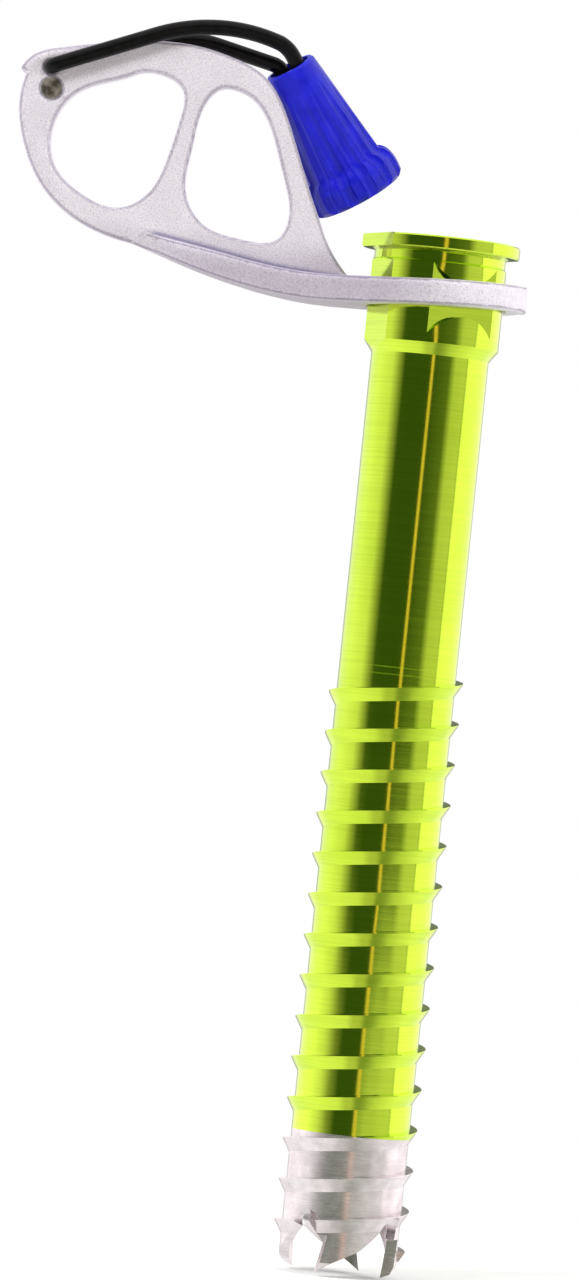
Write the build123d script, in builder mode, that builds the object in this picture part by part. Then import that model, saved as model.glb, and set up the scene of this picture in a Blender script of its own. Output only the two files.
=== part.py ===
"""Tubular ice screw: lime aluminium tube, steel cutting tip, forged hanger, folding crank with knob.

Millimetres. The tube's axis is Z. The origin is on that axis at the level of the hanger's underside,
where the ice surface is when the screw is driven home. +Z points out of the ice. The hanger points
to -X and its clip plate lies near the plane Y = 0.
"""
import math
import os

from build123d import *

os.makedirs("parts", exist_ok=True)

# ---- driving dimensions: tube -------------------------------------------------------------------
overall_length = 160.0  # flange face to tooth tips
flange_top = 11.0  # height of the flange face above the ice surface
tip_level = flange_top - overall_length
bore_r = 7.6
tube_r = 9.1  # smooth shank and root of the thread
flange_r = 12.2
flange_t = 2.0
neck_r = 10.15
head_r = 10.4
head_top = flange_top - 3.9  # where the neck ends and the head cylinder starts
collar_bottom = flange_top - 16.3
collar_cone_bottom = flange_top - 18.1
joint_level = flange_top - 138.35  # where the aluminium ends and the steel starts
spigot_r = 8.35
spigot_length = 10.0
bond_gap = 0.02

# flats of the head, as angles from the front (-Y) towards +X
flat_angle = -66.0
pocket_angle = 26.0
flange_flat = 10.85  # distance of the flats from the axis
head_flat = 9.65
pocket_floor = 8.85
pocket_level = flange_top - 9.45
pocket_floor_half = 5.4
pocket_mouth_half = 2.5

# ---- driving dimensions: thread and teeth -------------------------------------------------------
pitch = 6.29
crest_r = 10.25
crest_flat = 0.15
flank_length = 2.15  # height of the conical lower flank
upper_flank_drop = 0.12
thread_turns = 14.15
thread_start = flange_top - 155.75  # crest level at +X, one turn below the last whole turn
run_in_top = flange_top - 69.2
run_in_length = 1.55
run_in_step = 0.05
tooth_count = 4
tooth_angle = -29.5  # tip of the front tooth, from -Y towards +X
tooth_bevel_h = 2.0
tooth_bevel_r = 8.5
gullet_top = 9.8  # roof of the gullets above the tooth tips
gullet_r = 2.0
trail_low_slope = 0.54  # rise of the trailing edge per millimetre of circumference
trail_low_turn = 50.0  # degrees of arc with that slope
trail_high_slope = 0.92
trail_high_turn = 37.5
lead_face_angle = 42.0  # leading faces, from the radius
lead_face_h = 6.2
lead_face_lean = 1.1  # set back at the top

# ---- driving dimensions: hanger -----------------------------------------------------------------
ring_level = flange_top - 8.3  # middle of the ring's edge
hanger_lean = 3.0  # the clip end hangs low by the play of the seat, degrees
ring_r = 14.0
ring_hole_r = 10.6
edge_h = 3.4
ledge_h = 4.1
plate_t = 3.3
hole_round = 0.5
plate_round = 0.4
lug_flat = 9.1
lug_h = 3.2

# ---- driving dimensions: crank ------------------------------------------------------------------
wire_r = 0.85
sleeve_r = 1.2
sleeve_bore_r = 0.9
leg_depth = 3.2  # wire centre to the middle of the clip plate
leg_start = 1.9  # where the wire leaves the plate, from the middle of the plate
front_pivot = (-61.1, 32.0)
rear_pivot = (-60.9, 28.75)
pivot_hole_r = 1.05
pivot_r = 1.0
pivot_head_r = 1.6
pivot_head_h = 0.8
pivot_proud = 0.07
knob_start = (-24.46, 34.3)  # centre of the knob's narrow end
knob_depth = 3.5  # the same point, from the middle of the plate to the back
knob_tilt = -58.0  # direction of the knob's axis in the plane of the plate, degrees
knob_back = 14.0  # the wide end leans to the back, degrees
knob_length = 22.9
knob_small_r = 4.1
knob_neck_r = 6.3
knob_lip_start = 17.6
knob_lip_r = 7.85
flute_count = 14
flute_r = 1.25
flute_start = 3.0  # where the flutes run out, along the knob's axis
flute_depth = 0.7  # at the neck and across the lip
leg_twist = 45.0  # the plane of the two legs inside the knob, turned about the knob's axis
leg_half_gap = 1.75
core_top = 6.0
core_neck_r = 3.1
core_shoulder = 12.0
core_flange_r = 3.9
core_length = 8.6
bow_end = 16.4
cap_seat = 20.7
cap_t = 1.4
cap_r = 5.3
running_gap = 0.06

# ---- planes -------------------------------------------------------------------------------------
lean = math.radians(hanger_lean)
ring_centre = Vector(0, 0, ring_level)
hanger_x = Vector(math.cos(lean), 0, math.sin(lean))
hanger_up = Vector(-math.sin(lean), 0, math.cos(lean))
side_plane = Plane(origin=ring_centre, x_dir=hanger_x, z_dir=(0, -1, 0))
plan_plane = Plane(origin=ring_centre, x_dir=hanger_x, z_dir=hanger_up)


def hanger_point(u, up, depth=0.0):
    """Point given along the hanger, up from its ring, and towards the back."""
    return ring_centre + hanger_x * u + hanger_up * up + Vector(0, depth, 0)


tilt = math.radians(knob_tilt)
back = math.radians(knob_back)
knob_flat = hanger_x * math.cos(tilt) + hanger_up * math.sin(tilt)
knob_side = hanger_x * -math.sin(tilt) + hanger_up * math.cos(tilt)
knob_axis = knob_flat * math.cos(back) + Vector(0, math.sin(back), 0)
knob_deep = knob_side.cross(knob_axis)
knob_origin = hanger_point(*knob_start, knob_depth)


def knob_point(along, side, depth):
    """Point given along the knob's axis, to its upper right side, and towards the back."""
    return knob_origin + knob_axis * along + knob_side * side + knob_deep * depth


def knob_plane(along=0.0):
    """Plane across the knob's axis, its normal pointing to the wide end."""
    return Plane(origin=knob_point(along, 0, 0), x_dir=knob_side, z_dir=knob_axis)


# profile plane through the knob's axis: x is the radius, y runs along the axis
knob_profile = Plane(origin=knob_origin, x_dir=knob_side, z_dir=knob_deep)
knob_line = Axis(knob_origin, knob_axis)


def facing(angle, distance=0.0, level=0.0):
    """Plane that faces outwards at an angle from -Y towards +X; its x runs anticlockwise."""
    a = math.radians(angle)
    out = Vector(math.sin(a), -math.cos(a), 0)
    across = (math.cos(a), math.sin(a), 0)
    return Plane(origin=out * distance + Vector(0, 0, level), x_dir=across, z_dir=out)


# ---- threaded rod, the common blank of the tube's lower half and the tip -----------------------
ridge_root = tube_r - 0.4
rod_bottom = tip_level - 2 * pitch
rod_top = run_in_top + pitch
with BuildPart() as threaded_rod:
    with BuildSketch(Plane.XY.offset(rod_bottom)):
        Circle(tube_r)
    extrude(amount=rod_top - rod_bottom)
    with BuildLine() as ridge_path:
        Helix(pitch, thread_turns * pitch, tube_r, center=(0, 0, thread_start))
    with BuildSketch(Plane(ridge_path.line @ 0, x_dir=(1, 0, 0), z_dir=ridge_path.line % 0)):
        with BuildLine():
            # x is the radius from the root of the thread, y points down
            Polyline(
                (ridge_root - tube_r, -upper_flank_drop),
                (crest_r - tube_r, 0),
                (crest_r - tube_r, crest_flat),
                (0, flank_length),
                (ridge_root - tube_r, flank_length),
                close=True,
            )
        make_face()
    sweep(path=ridge_path.line, is_frenet=True)

# ---- aluminium tube -----------------------------------------------------------------------------
with BuildPart() as screw_tube:
    add(threaded_rod.part)
    split(bisect_by=Plane.XY.offset(joint_level), keep=Keep.TOP)
    # the ridge rises out of the shank over a short cone
    with BuildSketch(Plane.XZ):
        with BuildLine():
            Polyline(
                (tube_r + run_in_step, run_in_top),
                (crest_r + run_in_step, run_in_top - run_in_length),
                (crest_r + 1, run_in_top - run_in_length),
                (crest_r + 1, run_in_top + pitch),
                (tube_r + run_in_step, run_in_top + pitch),
                close=True,
            )
        make_face()
    revolve(axis=Axis.Z, mode=Mode.SUBTRACT)
    with BuildSketch(Plane.XZ):
        with BuildLine():
            Polyline(
                (0, flange_top),
                (flange_r - 0.25, flange_top),
                (flange_r, flange_top - 0.25),
                (flange_r, flange_top - flange_t + 0.2),
                (flange_r - 0.2, flange_top - flange_t),
                (neck_r + 0.4, flange_top - flange_t),
                (neck_r, flange_top - flange_t - 0.4),
                (neck_r, head_top + 0.25),
                (head_r, head_top),
                (head_r, collar_bottom),
                (tube_r, collar_cone_bottom),
                (tube_r, rod_top),
                (0, rod_top),
                close=True,
            )
        make_face()
    revolve(axis=Axis.Z)
    # spanner flats: two on the flange and, deeper, two along the head
    for side in (0, 180):
        with BuildSketch(facing(flat_angle + side, flange_flat, flange_top)):
            Rectangle(3 * head_r, 2 * flange_t)
        extrude(amount=flange_r, mode=Mode.SUBTRACT)
        with BuildSketch(facing(flat_angle + side, head_flat, head_top)):
            Rectangle(3 * head_r, head_top - collar_cone_bottom, align=(Align.CENTER, Align.MAX))
        extrude(amount=flange_r, mode=Mode.SUBTRACT)
    # undercut pockets that hold the hanger's two lugs
    for side in (0, 180):
        a = math.radians(pocket_angle + side)
        out = Vector(math.sin(a), -math.cos(a), 0)
        with BuildSketch(Plane((0, 0, pocket_level), x_dir=out, z_dir=out.cross(Vector(0, 0, 1)))):
            with BuildLine():
                Polyline(
                    (pocket_floor, -pocket_floor_half),
                    (head_r, -pocket_mouth_half),
                    (head_r + 1, -pocket_mouth_half),
                    (head_r + 1, pocket_mouth_half),
                    (head_r, pocket_mouth_half),
                    (pocket_floor, pocket_floor_half),
                    close=True,
                )
            make_face()
        extrude(amount=head_r, both=True, mode=Mode.SUBTRACT)
    # core bore, and the wider socket for the tip's spigot
    with BuildSketch(Plane.XZ):
        with BuildLine():
            Polyline(
                (0, joint_level - 1),
                (spigot_r + bond_gap, joint_level - 1),
                (spigot_r + bond_gap, joint_level + spigot_length),
                (bore_r, joint_level + spigot_length),
                (bore_r, flange_top - 0.5),
                (bore_r + 0.5, flange_top),
                (bore_r + 0.5, flange_top + 1),
                (0, flange_top + 1),
                close=True,
            )
        make_face()
    revolve(axis=Axis.Z, mode=Mode.SUBTRACT)
screw_tube.part.label = "screw_tube"
export_step(screw_tube.part, "parts/screw_tube.step")

# ---- cutters between the teeth ------------------------------------------------------------------
# the trailing edge climbs as a helix, gently behind the tip and then steeply to the next gullet
low_rise = trail_low_slope * tube_r * math.radians(trail_low_turn)
low_lead = trail_low_slope * 2 * math.pi * tube_r
high_lead = trail_high_slope * 2 * math.pi * tube_r
trail_turn = trail_low_turn + trail_high_turn  # each cutter ends square on, at a plane through the axis
with BuildPart() as low_cutter:
    with BuildLine() as low_way:
        Helix(low_lead, low_lead * trail_turn / 360, tube_r, center=(0, 0, tip_level))
    with BuildSketch(Plane(low_way.line @ 0, x_dir=(1, 0, 0), z_dir=low_way.line % 0)):
        # y points down
        Rectangle(5, gullet_top, align=(Align.CENTER, Align.MIN))
    sweep(path=low_way.line, is_frenet=True)
    split(bisect_by=Plane.XZ.rotated((0, 0, trail_turn)), keep=Keep.TOP)
with BuildPart() as high_cutter:
    with BuildLine() as high_way:
        Helix(high_lead, high_lead * trail_high_turn / 360, tube_r, center=(0, 0, tip_level + low_rise))
    with BuildSketch(Plane(high_way.line @ 0, x_dir=(1, 0, 0), z_dir=high_way.line % 0)):
        Rectangle(5, gullet_top, align=(Align.CENTER, Align.MIN))
    sweep(path=high_way.line, is_frenet=True)
    split(bisect_by=Plane.XZ.rotated((0, 0, trail_high_turn)), keep=Keep.TOP)

# ---- steel cutting tip --------------------------------------------------------------------------
with BuildPart() as cutting_tip:
    add(threaded_rod.part)
    split(bisect_by=Plane.XY.offset(joint_level), keep=Keep.BOTTOM)
    split(bisect_by=Plane.XY.offset(tip_level), keep=Keep.TOP)
    # bevel round the outside of the teeth
    with BuildSketch(Plane.XZ):
        with BuildLine():
            Polyline(
                (tooth_bevel_r - 0.15, tip_level - 0.5),
                (tube_r + 0.01, tip_level + tooth_bevel_h),
                (crest_r + 1, tip_level + tooth_bevel_h + 0.5),
                (crest_r + 1, tip_level - 0.5),
                close=True,
            )
        make_face()
    revolve(axis=Axis.Z, mode=Mode.SUBTRACT)
    # spigot that sits in the tube, and the core bore through all
    with BuildSketch(Plane.XZ):
        with BuildLine():
            Polyline(
                (0, joint_level),
                (spigot_r, joint_level),
                (spigot_r, joint_level + spigot_length - 0.6),
                (spigot_r - 0.4, joint_level + spigot_length - 0.2),
                (0, joint_level + spigot_length - 0.2),
                close=True,
            )
        make_face()
    revolve(axis=Axis.Z)
    with BuildSketch(Plane.XY.offset(tip_level - 1)):
        Circle(bore_r)
    extrude(amount=joint_level - tip_level + spigot_length + 2, mode=Mode.SUBTRACT)
    for tooth in range(tooth_count):
        first = tooth_angle + tooth * 360 / tooth_count
        # both cutters start at +X, which is 90 degrees on from the front
        add(low_cutter.part.rotate(Axis.Z, first - 90), mode=Mode.SUBTRACT)
        add(high_cutter.part.rotate(Axis.Z, first - 90 + trail_low_turn), mode=Mode.SUBTRACT)
        # gullet in front of this tooth, cut through the wall from the outside
        with BuildSketch(facing(first, 0, tip_level)):
            with BuildLine():
                Polyline(
                    (-2.6, -1),
                    (-0.18, -1),
                    (0, 0),
                    (gullet_r - 0.9, gullet_top - gullet_r),
                    (-2.6, gullet_top - gullet_r),
                    close=True,
                )
            make_face()
            with Locations((-0.9, gullet_top - gullet_r)):
                Circle(gullet_r)
        extrude(amount=crest_r + 1, mode=Mode.SUBTRACT)
        # oblique leading face: the inner edge leads and the outer edge is set back
        a = math.radians(first)
        inner = Vector(math.sin(a), -math.cos(a), 0) * (bore_r - 0.2)
        oblique = facing(first + lead_face_angle)
        root = inner + Vector(0, 0, tip_level)
        with BuildSketch(Plane(root, x_dir=oblique.x_dir, z_dir=oblique.z_dir)):
            with BuildLine():
                Polyline((-4, 0), (0, 0), (lead_face_lean, lead_face_h), (-4, lead_face_h), close=True)
            make_face()
        extrude(amount=4.5, mode=Mode.SUBTRACT)
cutting_tip.part.label = "cutting_tip"
export_step(cutting_tip.part, "parts/cutting_tip.step")

# ---- hanger -------------------------------------------------------------------------------------
# top of the ring and, to the left of it, of the ledge that rises towards the clip plate
ledge_top = [(-21.4, 2.15), (-30.0, 3.7), (-36.5, 5.2), (-45.0, 7.1)]
ledge_bottom = [(-21.4, -2.05), (-30.0, -0.45), (-38.6, 2.2), (-47.0, 5.35)]
ring_top = edge_h / 2
ring_bottom = ring_top - ledge_h


def tangent_point(point, upper):
    """Point where the line from an outside point touches the ring's outline."""
    bearing = math.atan2(point[1], point[0])
    opening = math.acos(ring_r / math.hypot(*point))
    a = bearing - opening if upper else bearing + opening
    return (ring_r * math.cos(a), ring_r * math.sin(a))


ledge_tail = (-47.0, -plate_t / 2)
web_tail = (-30.0, plate_t / 2)
with BuildPart() as ledge:
    with BuildSketch(side_plane):
        with BuildLine():
            Line((ring_r + 1, ring_bottom), (ring_r + 1, ring_top))
            Line((ring_r + 1, ring_top), (-12.8, ring_top))
            Spline((-12.8, ring_top), *ledge_top, tangents=((-1, 0), (-1, 0.25)))
            Line(ledge_top[-1], ledge_bottom[-1])
            Spline(*reversed(ledge_bottom), (-12.8, ring_bottom), tangents=((1, -0.36), (1, 0)))
            Line((-12.8, ring_bottom), (ring_r + 1, ring_bottom))
        make_face()
    extrude(amount=ring_r + 1, both=True)
    with BuildSketch(plan_plane.offset(-10)):
        Circle(ring_r)
        with BuildLine():
            Polyline(
                ledge_tail,
                tangent_point(ledge_tail, False),
                (0, 0),
                tangent_point(web_tail, True),
                web_tail,
                (ledge_tail[0], plate_t / 2),
                close=True,
            )
        make_face()
    extrude(amount=30, mode=Mode.INTERSECT)

plate_back = [
    (-13.4, 1.6),
    (-15.6, 4.3),
    (-17.6, 7.9),
    (-18.7, 10.8),
    (-20.2, 14.6),
    (-21.4, 18.0),
    (-23.0, 22.6),
    (-24.7, 27.0),
    (-27.9, 32.0),
    (-33.5, 35.0),
    (-40.0, 36.6),
    (-48.0, 36.7),
    (-58.3, 35.45),
    (-64.0, 33.9),
    (-66.0, 31.5),
]
plate_front = [
    (-65.0, 30.8),
    (-65.9, 26.0),
    (-64.9, 20.2),
    (-61.8, 13.7),
    (-57.0, 9.2),
    (-51.0, 6.4),
    (-43.0, 4.6),
    (-30.0, 1.2),
    (-16.0, -0.4),
]
left_hole = [
    (-48.2, 31.5),
    (-43.6, 31.6),
    (-40.8, 29.7),
    (-40.9, 24.8),
    (-42.7, 18.4),
    (-45.2, 13.4),
    (-49.7, 10.9),
    (-55.6, 12.8),
    (-59.8, 17.0),
    (-60.1, 23.6),
    (-56.5, 28.5),
]
right_hole = [
    (-33.4, 30.1),
    (-28.9, 27.8),
    (-26.2, 22.6),
    (-24.4, 16.6),
    (-23.4, 10.6),
    (-24.9, 7.3),
    (-31.0, 7.0),
    (-36.2, 8.7),
    (-39.3, 13.2),
    (-38.7, 21.0),
    (-36.9, 27.8),
]
with BuildPart() as plate:
    with BuildSketch(side_plane):
        with BuildLine():
            Spline(plate_back)
            Line(plate_back[-1], (-64.3, 31.2))
            Line((-64.3, 31.2), plate_front[0])
            Spline(plate_front)
            Line(plate_front[-1], plate_back[0])
        make_face()
        with BuildLine():
            Spline(left_hole, periodic=True)
        make_face(mode=Mode.SUBTRACT)
        with BuildLine():
            Spline(right_hole, periodic=True)
        make_face(mode=Mode.SUBTRACT)
    extrude(amount=plate_t / 2, both=True)
    rims = [e for e in plate.edges() if abs(abs((e @ 0.5).Y) - plate_t / 2) < 0.01]
    fillet([e for e in rims if e.is_closed], hole_round)
    rims = [e for e in plate.edges() if abs(abs((e @ 0.5).Y) - plate_t / 2) < 0.01]
    fillet([e for e in rims if not e.is_closed and e.length > 5], plate_round)

with BuildPart() as hanger:
    add(plate.part)
    add(ledge.part)
    with BuildSketch(side_plane):
        with Locations(front_pivot, rear_pivot):
            Circle(pivot_hole_r)
    extrude(amount=plate_t, both=True, mode=Mode.SUBTRACT)
    # seats for the two headed pivot ends: the rear leg is headed in front, the front leg behind
    with BuildSketch(side_plane.offset(plate_t / 2)):
        with Locations(rear_pivot):
            Circle(pivot_head_r + 0.03)
    extrude(amount=-pivot_head_h, mode=Mode.SUBTRACT)
    with BuildSketch(side_plane.offset(-plate_t / 2)):
        with Locations(front_pivot):
            Circle(pivot_head_r + 0.03)
    extrude(amount=pivot_head_h, mode=Mode.SUBTRACT)
    # ring hole: two chordal lugs are left in its lower part and reach into the tube's pockets
    with BuildSketch(plan_plane.offset(-10)):
        Circle(ring_hole_r)
        for side in (0, 180):
            a = math.radians(pocket_angle + side)
            lug_turn = (0, 0, pocket_angle + side - 90)
            with Locations(Location((lug_flat * math.sin(a), -lug_flat * math.cos(a), 0), lug_turn)):
                Rectangle(3, 2 * ring_hole_r, align=(Align.MIN, Align.CENTER), mode=Mode.SUBTRACT)
    extrude(amount=20, mode=Mode.SUBTRACT)
    with BuildSketch(plan_plane.offset(ring_bottom + lug_h)):
        Circle(ring_hole_r)
    extrude(amount=10, mode=Mode.SUBTRACT)
hanger.part.label = "hanger"
export_step(hanger.part, "parts/hanger.step")

# ---- crank wire and its sleeves -----------------------------------------------------------------
# corners of each leg: along the hanger, up from its ring, depth to the back
front_leg = [
    (*front_pivot, -leg_start),
    (*front_pivot, -leg_depth),
    (-47.0, 36.95, -leg_depth),
    (-35.2, 41.2, -2.5),
]
rear_leg = [
    (-40.2, 38.3, 3.0),
    (*rear_pivot, leg_depth),
    (*rear_pivot, leg_start),
]
front_radii = [1.25, 60.0, 27.0]
rear_radii = [12.0, 1.25]
leg_side = leg_half_gap * math.cos(math.radians(leg_twist))
leg_back = leg_half_gap * math.sin(math.radians(leg_twist))
front_turn = -3.05  # where each leg turns down into the knob, along the knob's axis
rear_turn = -0.6
front_turn_radius = 5.0
rear_turn_radius = 2.5
bow_radius = leg_half_gap - 0.05
front_points = [hanger_point(*p) for p in front_leg] + [knob_point(front_turn, leg_side, -leg_back)]
rear_points = [knob_point(rear_turn, -leg_side, leg_back)] + [hanger_point(*p) for p in rear_leg]
wire_points = (
    front_points
    + [knob_point(bow_end, leg_side, -leg_back), knob_point(bow_end, -leg_side, leg_back)]
    + rear_points
)
bow_radii = [bow_radius, bow_radius]
wire_radii = front_radii + [front_turn_radius] + bow_radii + [rear_turn_radius] + rear_radii
with BuildPart() as crank_wire:
    with BuildLine() as wire_path:
        FilletPolyline(*wire_points, radius=wire_radii)
    with BuildSketch(Plane(wire_path.wire() @ 0, z_dir=wire_path.wire() % 0)):
        Circle(wire_r)
    sweep(path=wire_path.wire())
crank_wire.part.label = "crank_wire"
export_step(crank_wire.part, "parts/crank_wire.step")

sleeve_end = core_top - 0.6  # along the knob's axis
with BuildPart() as front_wire_sleeve:
    with BuildLine() as front_path:
        FilletPolyline(
            *front_points,
            knob_point(sleeve_end, leg_side, -leg_back),
            radius=front_radii + [front_turn_radius],
        )
    with BuildSketch(Plane(front_path.wire() @ 0, z_dir=front_path.wire() % 0)):
        Circle(sleeve_r)
        Circle(sleeve_bore_r, mode=Mode.SUBTRACT)
    sweep(path=front_path.wire())
front_wire_sleeve.part.label = "front_wire_sleeve"
export_step(front_wire_sleeve.part, "parts/front_wire_sleeve.step")

with BuildPart() as rear_wire_sleeve:
    with BuildLine() as rear_path:
        FilletPolyline(
            knob_point(sleeve_end, -leg_side, leg_back),
            *rear_points,
            radius=[rear_turn_radius] + rear_radii,
        )
    with BuildSketch(Plane(rear_path.wire() @ 0, z_dir=rear_path.wire() % 0)):
        Circle(sleeve_r)
        Circle(sleeve_bore_r, mode=Mode.SUBTRACT)
    sweep(path=rear_path.wire())
rear_wire_sleeve.part.label = "rear_wire_sleeve"
export_step(rear_wire_sleeve.part, "parts/rear_wire_sleeve.step")

# ---- headed ends of the wire, inside the hanger -------------------------------------------------
with BuildPart() as crank_pivot_ends:
    with BuildSketch(side_plane):
        with Locations(front_pivot, rear_pivot):
            Circle(pivot_r)
    extrude(amount=plate_t / 2 + pivot_proud, both=True)
    with BuildSketch(side_plane.offset(plate_t / 2 - pivot_head_h + 0.02)):
        with Locations(rear_pivot):
            Circle(pivot_head_r)
    extrude(amount=pivot_head_h + pivot_proud - 0.02)
    with BuildSketch(side_plane.offset(-plate_t / 2 + pivot_head_h - 0.02)):
        with Locations(front_pivot):
            Circle(pivot_head_r)
    extrude(amount=-pivot_head_h - pivot_proud + 0.02)
crank_pivot_ends.part.label = "crank_pivot_ends"
export_step(crank_pivot_ends.part, "parts/crank_pivot_ends.step")

# ---- knob core: grips the bow, the shell turns on its neck ---------------------------------------
with BuildPart() as knob_core:
    with BuildSketch(knob_plane(core_top)):
        Circle(core_neck_r)
    extrude(amount=core_shoulder - core_top)
    with BuildSketch(knob_plane(core_shoulder)):
        Circle(core_flange_r)
    extrude(amount=core_length - (core_shoulder - core_top))
    with BuildSketch(knob_plane(core_top)):
        with Locations((leg_side, leg_back), (-leg_side, -leg_back)):
            Circle(wire_r + 0.02)
    extrude(amount=core_length, mode=Mode.SUBTRACT)
knob_core.part.label = "knob_core"
export_step(knob_core.part, "parts/knob_core.step")

# ---- knob shell ---------------------------------------------------------------------------------
bearing_top = core_top - 0.2
shoulder = core_shoulder - 0.1
cavity_r = core_flange_r + 0.15
# the flutes start level with the cone, get deeper down to the neck and follow the flare of the lip
cone_slope = (knob_neck_r - knob_small_r) / (knob_lip_start - 0.4)
flute_start_r = knob_small_r + cone_slope * (flute_start - 0.4)
lip_path_r = knob_lip_r - flute_depth + flute_r
with BuildPart() as flute_cutter:
    with BuildLine() as flute_path:
        FilletPolyline(
            knob_point(flute_start, flute_start_r + flute_r, 0),
            knob_point(knob_lip_start - 0.4, knob_neck_r - flute_depth + flute_r, 0),
            knob_point(knob_lip_start + 1.6, lip_path_r, 0),
            knob_point(knob_length + 1, lip_path_r, 0),
            radius=1.5,
        )
    with BuildSketch(Plane(flute_path.wire() @ 0, z_dir=flute_path.wire() % 0)):
        Circle(flute_r)
    sweep(path=flute_path.wire())

with BuildPart() as knob_shell:
    with BuildSketch(knob_profile):
        with BuildLine():
            # x is the radius, y runs along the axis from the narrow end
            Polyline(
                (knob_small_r - 0.8, 0),
                (knob_small_r - 0.3, 0),
                (knob_small_r, 0.4),
                (knob_neck_r, knob_lip_start),
            )
            Spline(
                (knob_neck_r, knob_lip_start),
                (knob_lip_r - 0.45, knob_lip_start + 1.0),
                (knob_lip_r, knob_lip_start + 2.8),
                (knob_lip_r - 0.1, knob_length - 0.6),
            )
            Polyline(
                (knob_lip_r - 0.1, knob_length - 0.6),
                (knob_lip_r - 0.6, knob_length),
                (cap_r + 0.04, knob_length),
                (cap_r + 0.04, cap_seat),
                (cavity_r, cap_seat),
                (cavity_r, shoulder),
                (core_neck_r + running_gap, shoulder),
                (core_neck_r + running_gap, bearing_top),
                (knob_small_r - 0.8, bearing_top),
                (knob_small_r - 0.8, 0),
            )
        make_face()
    revolve(axis=knob_line)
    for flute in range(flute_count):
        add(flute_cutter.part.rotate(knob_line, flute * 360 / flute_count), mode=Mode.SUBTRACT)
knob_shell.part.label = "knob_shell"
export_step(knob_shell.part, "parts/knob_shell.step")

# ---- knob cap -----------------------------------------------------------------------------------
with BuildPart() as knob_cap:
    with BuildSketch(knob_plane(cap_seat)):
        Circle(cap_r)
    extrude(amount=cap_t)
knob_cap.part.label = "knob_cap"
export_step(knob_cap.part, "parts/knob_cap.step")
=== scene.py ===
"""Looks of the tubular ice screw: materials, hanger skin, studio and camera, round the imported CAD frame."""

import math

import bpy
import numpy as np
from mathutils import Matrix, Vector


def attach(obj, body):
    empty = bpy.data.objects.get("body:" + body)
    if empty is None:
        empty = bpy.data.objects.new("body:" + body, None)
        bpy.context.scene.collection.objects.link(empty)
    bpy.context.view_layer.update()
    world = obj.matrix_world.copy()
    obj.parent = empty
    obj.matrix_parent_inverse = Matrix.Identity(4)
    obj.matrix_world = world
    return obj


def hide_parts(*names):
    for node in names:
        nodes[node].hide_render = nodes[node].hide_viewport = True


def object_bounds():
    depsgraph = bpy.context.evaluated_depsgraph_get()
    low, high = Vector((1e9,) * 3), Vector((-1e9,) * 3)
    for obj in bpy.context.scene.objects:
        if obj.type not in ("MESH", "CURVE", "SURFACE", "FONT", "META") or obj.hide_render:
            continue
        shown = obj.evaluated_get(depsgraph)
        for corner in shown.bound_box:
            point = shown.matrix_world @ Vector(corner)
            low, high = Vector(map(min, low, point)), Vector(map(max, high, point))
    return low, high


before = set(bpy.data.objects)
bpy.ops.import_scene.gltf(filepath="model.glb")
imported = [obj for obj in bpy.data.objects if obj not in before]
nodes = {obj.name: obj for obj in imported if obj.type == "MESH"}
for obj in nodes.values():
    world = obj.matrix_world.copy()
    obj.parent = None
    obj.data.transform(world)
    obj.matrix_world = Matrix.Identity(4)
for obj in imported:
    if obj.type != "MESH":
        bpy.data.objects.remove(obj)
cad_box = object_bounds()

# Lengths are in metres, angles in degrees, noise in cells per metre, lamps in watts.

# ---- camera --------------------------------------------------------------------------------------
CAMERA_AT = Vector((-0.0171, -1.1, -0.066))
CAMERA_TARGET = Vector((-0.0171, 0.0, -0.0527))
CAMERA_UP = Vector((-0.1024, 0.0, 0.9947))
CAMERA_CLIP = (0.05, 50)
FRAME_HEIGHT = 0.1975  # height of the picture at the screw's axis
SENSOR = 36.0  # millimetres

# ---- floor and lamps -----------------------------------------------------------------------------
FLOOR_LEVEL = cad_box[0].z - 0.0004
FLOOR_SOLID = 0.012  # radius up to which the floor hides what is behind it
FLOOR_RADIUS = 0.13
FLOOR_COVER = 0.9  # how much of the background the solid part hides
LAMP_AIM = Vector((-0.03, 0.0, 0.01))

# ---- details of the materials --------------------------------------------------------------------
TURNED_LINES = (-0.0553, -0.0564)  # levels of the two fine rings above the thread
TURNED_LINE_HALF = 0.00006  # half the width of each
TURNED_LINE_DEPTH = 0.00008
LEDGE_TOP = 0.003  # painted shade darkens the hanger below this level
LEDGE_TOP_FADE = 170.0  # and gets lighter at this rate per metre above it
LEDGE_END = -0.008  # the painted shade of the ledge ends here, along X
LEDGE_END_FADE = 85.0

# ---- hanger skin ---------------------------------------------------------------------------------
GRAIN = 0.00024  # edge length of the fine mesh
FILL_STEPS = 170  # passes that fill the hollow corners
FILL_RATE = 0.85  # share of the way to the neighbours' mean that each pass goes
NORMALS_EVERY = 8  # passes between fresh normals
FLATTEST_HOLLOW = 300.0  # hollows that bend less than this, per metre, stay as they are
EDGE_STEPS = 3  # passes that round every edge
EDGE_RATE = 0.5
DEEP_FILL = 0.0003  # thickness of filling that gets the full painted shade of a hollow
DEEP_ROUNDING = 0.00004  # rounding that gets the full painted shade of a rim, and its full metallic and smoothness
LEDGE_STEPS = 24  # further passes that round the ring, the ledge and the clip end
BROAD_FROM = 0.0019  # they work further than this from the middle of the clip plate
BROAD_FADE = 0.0006
CLIP_END = -0.057  # and to the left of this
CLIP_END_FADE = 0.004
CLIP_END_RATE = 0.6
NOSE_STEPS = 150  # passes that let the ledge run out into the clip plate
NOSE_AT = (-0.0455, 0.0065)  # X and Z of the place where it does
NOSE_REACH = 0.006
SOFT_RATE = 0.8  # share of the way that each pass of the last two kinds goes

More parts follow.
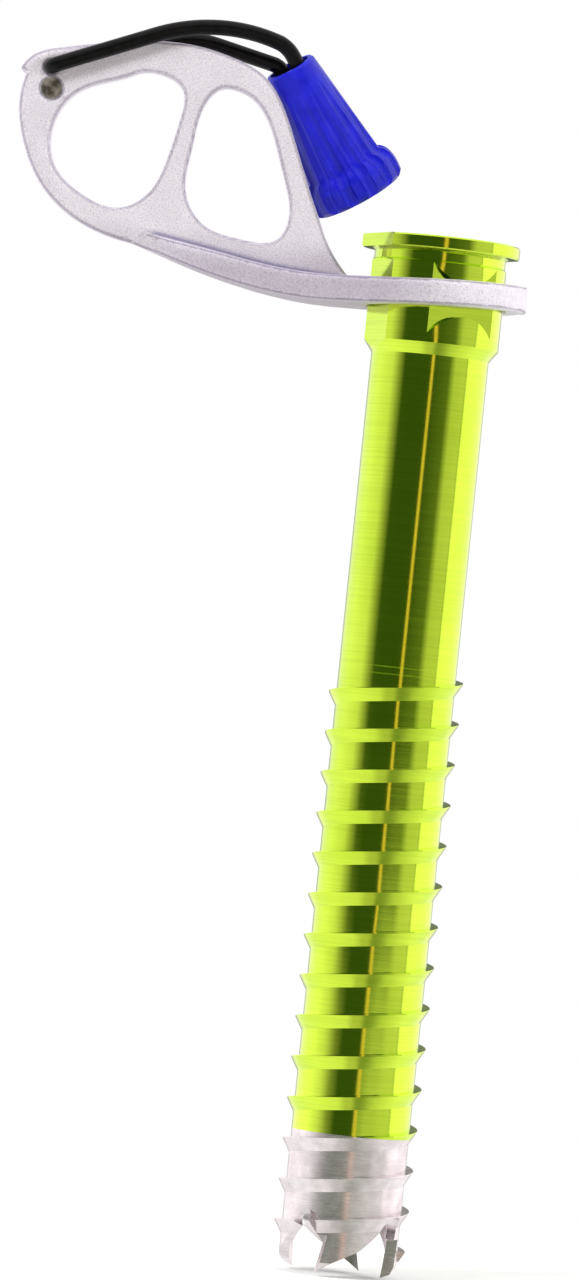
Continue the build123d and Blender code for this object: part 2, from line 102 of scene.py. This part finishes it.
# ---- colours -------------------------------------------------------------------------------------
MILK = (0.98, 0.94, 1.0)  # light grains of the hanger
WHITE = (1.0, 1.0, 1.0)
BRIGHT = (1.2, 1.15, 1.15)
DARK = (0.045, 0.075, 0.03)  # the room behind the camera
STRIP = (0.95, 0.56, 0.36)  # narrow strip light
GAP = (0.35, 0.38, 0.35)  # thin gap between two cloths of the tent
SHADE = (0.1, 0.12, 0.09)  # gap in the tent behind the screw

# ---- studio, by the upward part of a direction ---------------------------------------------------
LOW_WALLS = (-0.012, -0.046)  # the level bands give way to the low ones
UNDER_WALLS = (-0.2, -0.45)  # and those to the ones under the screw
ROOF = (0.4, 0.8)  # the walls give way to the white roof


# ---- node helpers --------------------------------------------------------------------------------
class Nodes:
    """A node tree being built: add() makes a node, wire() joins two sockets."""

    def __init__(self, tree):
        self.tree = tree

    def add(self, kind, **values):
        made = self.tree.nodes.new(kind)
        for key, value in values.items():
            setattr(made, key, value)
        return made

    def wire(self, source, target):
        self.tree.links.new(source, target)

    def split(self, source):
        """Outputs X, Y and Z of a vector."""
        made = self.add("ShaderNodeSeparateXYZ")
        self.wire(source, made.inputs["Vector"])
        return made.outputs

    def ramp(self, source, *stops):
        """Colour ramp; each stop is (place, colour or grey)."""
        made = self.add("ShaderNodeValToRGB")
        elements = made.color_ramp.elements
        while len(elements) < len(stops):
            elements.new(0.5)
        for element, (place, value) in zip(elements, stops):
            element.position = place
            colour = value if isinstance(value, tuple) else (value, value, value)
            element.color = (*colour, 1)
        self.wire(source, made.inputs["Fac"])
        return made.outputs["Color"]

    def math(self, operation, *values, clamp=False):
        """Math node; each value is a number or an output."""
        made = self.add("ShaderNodeMath", operation=operation, use_clamp=clamp)
        for socket, value in zip(made.inputs, values):
            if isinstance(value, (int, float)):
                socket.default_value = value
            else:
                self.wire(value, socket)
        return made.outputs["Value"]

    def span(self, source, start, end, low=0.0, high=1.0, kind="SMOOTHSTEP"):
        """Goes from low, at start, to high, at end."""
        made = self.add("ShaderNodeMapRange", interpolation_type=kind)
        names = ("From Min", "From Max", "To Min", "To Max")
        for name, value in zip(names, (start, end, low, high)):
            made.inputs[name].default_value = value
        self.wire(source, made.inputs["Value"])
        return made.outputs["Result"]

    def mix(self, factor, a, b):
        """Colour that goes from a to b with the factor; b is a colour or an output."""
        made = self.add("ShaderNodeMix", data_type="RGBA")
        self.wire(factor, made.inputs["Factor"])
        self.wire(a, made.inputs["A"])
        if isinstance(b, tuple):
            made.inputs["B"].default_value = (*b, 1)
        else:
            self.wire(b, made.inputs["B"])
        return made.outputs["Result"]


class Shader(Nodes):
    """The nodes of a new material round its Principled shader."""

    def __init__(self, name, metallic, roughness):
        self.material = bpy.data.materials.new(name)
        self.material.use_nodes = True
        super().__init__(self.material.node_tree)
        self.bsdf = self.tree.nodes["Principled BSDF"]
        self.fix("Metallic", metallic)
        self.fix("Roughness", roughness)
        self.place = self.add("ShaderNodeTexCoord").outputs["Object"]

    def fix(self, socket, value):
        """Sets a value that is the same all over."""
        self.bsdf.inputs[socket].default_value = value

    def set(self, socket, source):
        """Wires a value that varies."""
        self.wire(source, self.bsdf.inputs[socket])

    def noise(self, scale, detail=2.0, stretch=(1, 1, 1), roughness=0.5):
        """Noise with that many cells per metre, stretched by a factor along each axis."""
        mapping = self.add("ShaderNodeMapping")
        mapping.inputs["Scale"].default_value = stretch
        self.wire(self.place, mapping.inputs["Vector"])
        made = self.add("ShaderNodeTexNoise")
        made.inputs["Scale"].default_value = scale
        made.inputs["Detail"].default_value = detail
        made.inputs["Roughness"].default_value = roughness
        self.wire(mapping.outputs["Vector"], made.inputs["Vector"])
        return made.outputs["Fac"]

    def rings(self, across, along, detail):
        """Lathe marks: noise that is much finer along the tube than across it."""
        return self.noise(1.0, detail, (across, across, along))

    def vertex_value(self, name):
        return self.add("ShaderNodeAttribute", attribute_name=name).outputs["Fac"]

    def multiply(self, first, *others):
        """Product of colours."""
        for other in others:
            made = self.add("ShaderNodeMix", data_type="RGBA", blend_type="MULTIPLY")
            made.inputs["Factor"].default_value = 1.0
            self.wire(first, made.inputs["A"])
            self.wire(other, made.inputs["B"])
            first = made.outputs["Result"]
        return first

    def bump(self, height, distance, strength=1.0, under=None):
        """Bump of that depth in metres on top of another bump."""
        made = self.add("ShaderNodeBump")
        made.inputs["Distance"].default_value = distance
        made.inputs["Strength"].default_value = strength
        self.wire(height, made.inputs["Height"])
        if under is not None:
            self.wire(under, made.inputs["Normal"])
        return made.outputs["Normal"]


# ---- materials -----------------------------------------------------------------------------------
def lime_anodised():
    """Turned, polished and lime anodised aluminium: mirror-like, with fine rings from the lathe."""
    s = Shader("lime_anodised", 1.0, 0.1)
    lime = s.ramp(s.noise(60, 3), (0.35, (0.68, 0.94, 0.05)), (0.65, (0.75, 1.0, 0.065)))
    marks = s.ramp(s.rings(25, 2400, 2), (0.4, 0.93), (0.56, 1.0))
    s.set("Base Color", s.multiply(lime, marks))
    fine = s.rings(30, 9000, 2)
    s.set("Roughness", s.ramp(fine, (0.3, 0.06), (0.7, 0.13)))
    level = s.split(s.place)["Z"]
    lines = [s.math("COMPARE", level, at, TURNED_LINE_HALF) for at in TURNED_LINES]
    grooves = s.math("MULTIPLY", s.math("ADD", *lines), -1.0)
    turned = s.bump(s.rings(10, 1400, 1), 0.00001, 0.12, s.bump(fine, 0.000004, 0.35))
    s.set("Normal", s.bump(grooves, TURNED_LINE_DEPTH, 0.8, turned))
    s.fix("Coat Weight", 0.3)
    s.fix("Coat Roughness", 0.08)
    return s.material


def tip_steel():
    """Stainless steel, turned to a pale satin, with darker patches."""
    s = Shader("tip_steel", 0.85, 0.22)
    steel = s.ramp(s.noise(420, 4), (0.3, (0.72, 0.65, 0.665)), (0.7, (0.93, 0.855, 0.875)))
    marks = s.ramp(s.rings(60, 5200, 3), (0.35, 0.94), (0.6, 1.0))
    s.set("Base Color", s.multiply(steel, marks))
    fine = s.rings(40, 7000, 3)
    s.set("Roughness", s.ramp(fine, (0.3, 0.16), (0.7, 0.3)))
    s.set("Normal", s.bump(fine, 0.00001, 0.4))
    return s.material


def hanger_aluminium():
    """Forged aluminium, tumbled and sandblasted: a pale satin skin with a fine grain.

    Its creases, its rims and the ledge get painted shade, darker than the clip plate.
    """
    s = Shader("hanger_aluminium", 0.5, 0.4)
    grain = s.noise(4200, 3, roughness=0.7)
    speckle = s.ramp(grain, (0.33, (0.62, 0.57, 0.66)), (0.48, (0.88, 0.83, 0.93)), (0.64, MILK))
    wash = s.ramp(s.noise(220, 4), (0.3, (0.93, 0.92, 0.93)), (0.7, WHITE))
    # painted shade: the hollow corners, where the fillets are filled, are painted darker and bluer
    painted_crease_shade = s.ramp(s.vertex_value("hollow"), (0.03, WHITE), (0.7, (0.36, 0.36, 0.46)))
    edge = s.vertex_value("edge")
    # painted shade: the rounded edges are painted darker
    painted_rim_shade = s.ramp(edge, (0.3, WHITE), (0.85, (0.62, 0.60, 0.65)))
    place = s.split(s.place)
    # painted shade: the ring and the ledge, below LEDGE_TOP and at lower X than LEDGE_END, are painted darker
    rise = s.math("SUBTRACT", place["Z"], LEDGE_TOP)
    rise = s.math("MULTIPLY", rise, LEDGE_TOP_FADE, clamp=True)
    along = s.math("SUBTRACT", place["X"], LEDGE_END)
    along = s.math("MULTIPLY", along, LEDGE_END_FADE, clamp=True)
    ledge = s.ramp(s.math("MAXIMUM", rise, along), (0.0, (0.7, 0.66, 0.71)), (1.0, WHITE))
    s.set("Base Color", s.multiply(speckle, wash, painted_crease_shade, ledge, painted_rim_shade))
    s.set("Metallic", s.ramp(edge, (0.5, 0.5), (0.9, 0.68)))
    smoother = s.math("SUBTRACT", grain, s.math("MULTIPLY", edge, 0.12))
    s.set("Roughness", s.ramp(smoother, (0.1, 0.26), (0.7, 0.52)))
    s.set("Normal", s.bump(grain, 0.0001, 0.8, s.bump(s.noise(330, 2), 0.0002, 0.2)))
    return s.material


def wire_steel():
    """Drawn steel wire."""
    s = Shader("wire_steel", 1.0, 0.3)
    s.set("Base Color", s.ramp(s.noise(900, 3), (0.3, (0.5, 0.49, 0.48)), (0.7, (0.66, 0.65, 0.64))))
    s.set("Normal", s.bump(s.noise(5000, 2), 0.00002, 0.3))
    return s.material


def pivot_steel():
    """Headed wire ends, mottled by the peening."""
    s = Shader("pivot_steel", 0.85, 0.3)
    s.set("Base Color", s.ramp(s.noise(900, 4), (0.36, (0.16, 0.14, 0.13)), (0.6, (0.62, 0.57, 0.55))))
    s.set("Normal", s.bump(s.noise(1100, 3), 0.0001, 0.5))
    return s.material


def black_sleeve():
    """Black extruded plastic, satin."""
    s = Shader("black_sleeve", 0.0, 0.25)
    tone = s.noise(700, 3)
    s.set("Base Color", s.ramp(tone, (0.3, (0.002, 0.002, 0.0023)), (0.7, (0.005, 0.0045, 0.005))))
    fine = s.noise(6000, 2)
    s.set("Roughness", s.ramp(fine, (0.3, 0.18), (0.7, 0.3)))
    s.set("Normal", s.bump(fine, 0.00002, 0.3))
    s.fix("Specular IOR Level", 0.17)
    return s.material


def knob_blue():
    """Deep blue moulded plastic with a fine moulded grain."""
    s = Shader("knob_blue", 0.0, 0.36)
    s.set("Base Color", s.ramp(s.noise(500, 3), (0.3, (0.004, 0.005, 0.36)), (0.7, (0.008, 0.010, 0.48))))
    fine = s.noise(5000, 2)
    s.set("Roughness", s.ramp(fine, (0.3, 0.3), (0.7, 0.44)))
    s.set("Normal", s.bump(fine, 0.00003, 0.3))
    s.fix("Specular IOR Level", 0.4)
    return s.material


def pale_floor():
    """Pale floor that fades into the white background with distance from the screw."""
    s = Shader("pale_floor", 0.0, 0.8)
    s.set("Base Color", s.ramp(s.noise(30, 2), (0.3, 0.97), (0.7, 1.0)))
    distance = s.add("ShaderNodeVectorMath", operation="LENGTH")
    s.wire(s.place, distance.inputs[0])
    s.set("Alpha", s.span(distance.outputs["Value"], FLOOR_SOLID, FLOOR_RADIUS, FLOOR_COVER, 0.0))
    return s.material


MATERIALS = {
    "screw_tube": lime_anodised(),
    "cutting_tip": tip_steel(),
    "hanger": hanger_aluminium(),
    "crank_wire": wire_steel(),
    "front_wire_sleeve": black_sleeve(),
    "crank_pivot_ends": pivot_steel(),
    "knob_shell": knob_blue(),
}
MATERIALS["rear_wire_sleeve"] = MATERIALS["front_wire_sleeve"]
MATERIALS["knob_core"] = MATERIALS["front_wire_sleeve"]
MATERIALS["knob_cap"] = MATERIALS["knob_shell"]
for name, obj in nodes.items():
    for material_slot in obj.material_slots:
        material_slot.material = MATERIALS[name]


# ---- hanger skin ---------------------------------------------------------------------------------
def near(value, middle, reach):
    """1 at the middle, falling smoothly to 0 at that reach."""
    t = np.clip(1 - np.abs(value - middle) / reach, 0, 1)
    return t * t * (3 - 2 * t)


def forged(mesh):
    """Fills the hollow corners of a fine mesh, like a forging's fillets, and rounds its edges.

    The mesh gets a value "hollow", 1 where the filling is thickest, and "edge", 1 on rounded edges.
    """
    count = len(mesh.vertices)
    points = np.zeros(count * 3)
    mesh.vertices.foreach_get("co", points)
    points = points.reshape(-1, 3)
    ends = np.zeros(len(mesh.edges) * 2, int)
    mesh.edges.foreach_get("vertices", ends)
    first, second = ends.reshape(-1, 2).T
    degree = np.bincount(ends, minlength=count)[:, None]
    corners = np.zeros(len(mesh.loops), int)
    mesh.loops.foreach_get("vertex_index", corners)
    quads = corners.reshape(-1, 4)

    def pull():
        """Vector from each vertex to the mean of its neighbours."""
        total = np.empty_like(points)
        for axis in range(3):
            column = points[:, axis]
            total[:, axis] = np.bincount(first, column[second], count)
            total[:, axis] += np.bincount(second, column[first], count)
        return total / degree - points

    def normals():
        a, b, c, d = (points[quads[:, k]] for k in range(4))
        face = np.cross(c - a, d - b)
        total = np.empty_like(points)
        for axis in range(3):
            total[:, axis] = sum(np.bincount(quads[:, k], face[:, axis], count) for k in range(4))
        return total / np.linalg.norm(total, axis=1)[:, None]

    least = FLATTEST_HOLLOW * GRAIN * GRAIN / 4
    filled = np.zeros(count)
    for step in range(FILL_STEPS):
        if step % NORMALS_EVERY == 0:
            outward = normals()
        rise = np.einsum("ij,ij->i", pull(), outward)
        moved = FILL_RATE * np.clip(rise - least, 0, None)
        filled += moved
        points += moved[:, None] * outward
    sharp = points.copy()
    for step in range(EDGE_STEPS):
        points += EDGE_RATE * pull()
    rounded_depth = np.abs(np.einsum("ij,ij->i", points - sharp, outward))
    for name, value in (("hollow", filled / DEEP_FILL), ("edge", rounded_depth / DEEP_ROUNDING)):
        mesh.attributes.new(name, "FLOAT", "POINT").data.foreach_set("value", np.clip(value, 0, 1))
    broad = np.clip((np.abs(points[:, 1]) - BROAD_FROM) / BROAD_FADE, 0, 1)
    left = np.clip((CLIP_END - points[:, 0]) / CLIP_END_FADE, 0, 1)
    nose = near(points[:, 0], NOSE_AT[0], NOSE_REACH) * near(points[:, 2], NOSE_AT[1], NOSE_REACH)
    weight = np.maximum(broad, CLIP_END_RATE * left)[:, None]
    for step in range(LEDGE_STEPS):
        points += SOFT_RATE * weight * pull()
    for step in range(NOSE_STEPS):
        points[:, 1] += SOFT_RATE * nose * pull()[:, 1]
    mesh.vertices.foreach_set("co", points.ravel())
    mesh.update()


def hanger_skin():
    """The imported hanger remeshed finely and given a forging's soft edges."""
    source = nodes["hanger"]
    skin = bpy.data.objects.new("hanger_skin", source.data.copy())
    bpy.context.collection.objects.link(skin)
    skin.matrix_world = source.matrix_world.copy()
    remesh = skin.modifiers.new("remesh", "REMESH")
    remesh.mode = "VOXEL"
    remesh.voxel_size = GRAIN
    seen = skin.evaluated_get(bpy.context.evaluated_depsgraph_get())
    mesh = bpy.data.meshes.new_from_object(seen)
    skin.modifiers.clear()
    skin.data = mesh
    forged(mesh)
    mesh.shade_smooth()
    mesh.materials.clear()
    mesh.materials.append(MATERIALS["hanger"])
    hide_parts("hanger")
    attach(skin, "screw")


hanger_skin()

# ---- studio --------------------------------------------------------------------------------------
bpy.ops.mesh.primitive_circle_add(vertices=128, radius=FLOOR_RADIUS, fill_type="NGON")
floor = bpy.context.object
floor.name = "floor"
floor.location.z = FLOOR_LEVEL
floor.data.materials.append(pale_floor())
floor.visible_glossy = False  # the tent below already gives the reflections of a white floor


def soft_light(name, place, size, power):
    """Large lamp aimed at the hanger; it lights grained surfaces and is not mirrored in polished ones."""
    lamp = bpy.data.lights.new(name, "AREA")
    lamp.shape = "DISK"
    lamp.size = size
    lamp.energy = power
    made = bpy.data.objects.new(name, lamp)
    bpy.context.collection.objects.link(made)
    made.location = place
    aim = LAMP_AIM - Vector(place)
    made.rotation_euler = aim.to_track_quat("-Z", "Y").to_euler()
    made.visible_glossy = False
    made.visible_camera = False


soft_light("front_left_light", (-0.5, -0.7, 0.5), 0.35, 8.4)
soft_light("front_right_light", (0.8, -0.6, 0.2), 0.4, 5.0)
soft_light("low_light", (-0.1, -0.9, -0.25), 0.4, 1.2)


def studio_world():
    """White light tent with a dark front, where the camera stands, and a narrow strip light beside it.

    The camera itself sees plain white.
    """
    world = bpy.data.worlds.new("studio")
    world.use_nodes = True
    world.node_tree.nodes.clear()
    n = Nodes(world.node_tree)
    direction = n.split(n.add("ShaderNodeTexCoord").outputs["Generated"])
    forward = n.math("MULTIPLY", direction["Y"], -1.0)
    bearing = n.math("ARCTAN2", direction["X"], forward)
    turn = n.span(bearing, -math.pi, math.pi, kind="LINEAR")

    def bands(*stops):
        """Colours round the horizon; each stop is (degrees from the camera towards +X, colour)."""
        return n.ramp(turn, *((angle / 360 + 0.5, colour) for angle, colour in stops))

    level = bands(
        (-180, SHADE),
        (-152, WHITE),
        (-112, WHITE),
        (-76, 0.8),
        (-61, (0.36, 0.36, 0.34)),
        (-49, DARK),
        (3, DARK),
        (4.5, STRIP),
        (8, STRIP),
        (9.5, DARK),
        (18, (0.07, 0.1, 0.05)),
        (40, (0.12, 0.15, 0.08)),
        (53, (0.6, 0.6, 0.55)),
        (78, (0.66, 0.66, 0.62)),
        (79, GAP),
        (80, GAP),
        (81, BRIGHT),
        (152, BRIGHT),
        (180, SHADE),
    )
    low = bands(
        (-180, SHADE),
        (-152, BRIGHT),
        (-100, BRIGHT),
        (-70, 0.75),
        (-52, (0.3, 0.3, 0.28)),
        (-35, DARK),
        (1, DARK),
        (3, (0.6, 0.42, 0.3)),
        (8, STRIP),
        (10, (0.42, 0.44, 0.38)),
        (24, (0.6, 0.6, 0.55)),
        (76, (0.7, 0.7, 0.66)),
        (78, GAP),
        (81, BRIGHT),
        (152, BRIGHT),
        (180, SHADE),
    )
    under = bands(
        (-180, WHITE),
        (-95, WHITE),
        (-34, (0.84, 0.84, 0.8)),
        (-15, (0.58, 0.58, 0.54)),
        (4, (0.55, 0.53, 0.48)),
        (18, (0.28, 0.3, 0.24)),
        (28, (0.27, 0.3, 0.24)),
        (40, (0.35, 0.38, 0.33)),
        (59, (0.6, 0.62, 0.56)),
        (80, (0.78, 0.78, 0.74)),
        (110, WHITE),
        (180, WHITE),
    )
    walls = n.mix(n.span(direction["Z"], *LOW_WALLS), level, low)
    sides = n.mix(n.span(direction["Z"], *UNDER_WALLS), walls, under)
    roof = n.mix(n.span(direction["Z"], *ROOF), sides, WHITE)
    tent = n.add("ShaderNodeBackground")
    n.wire(roof, tent.inputs["Color"])
    backdrop = n.add("ShaderNodeBackground")
    backdrop.inputs["Color"].default_value = (*WHITE, 1)
    choice = n.add("ShaderNodeMixShader")
    n.wire(n.add("ShaderNodeLightPath").outputs["Is Camera Ray"], choice.inputs["Fac"])
    n.wire(tent.outputs["Background"], choice.inputs[1])
    n.wire(backdrop.outputs["Background"], choice.inputs[2])
    n.wire(choice.outputs["Shader"], n.add("ShaderNodeOutputWorld").inputs["Surface"])
    return world


bpy.context.scene.world = studio_world()
bpy.context.scene.view_settings.view_transform = "Standard"

# ---- camera --------------------------------------------------------------------------------------
look = (CAMERA_TARGET - CAMERA_AT).normalized()
right = look.cross(CAMERA_UP).normalized()
up = right.cross(look)
camera_data = bpy.data.cameras.new("camera")
camera_data.sensor_width = SENSOR
camera_data.lens = SENSOR / FRAME_HEIGHT * (CAMERA_TARGET - CAMERA_AT).length
camera_data.clip_start, camera_data.clip_end = CAMERA_CLIP
camera = bpy.data.objects.new("camera", camera_data)
bpy.context.collection.objects.link(camera)
camera.matrix_world = Matrix.Translation(CAMERA_AT) @ Matrix((right, up, -look)).transposed().to_4x4()
bpy.context.scene.camera = camera
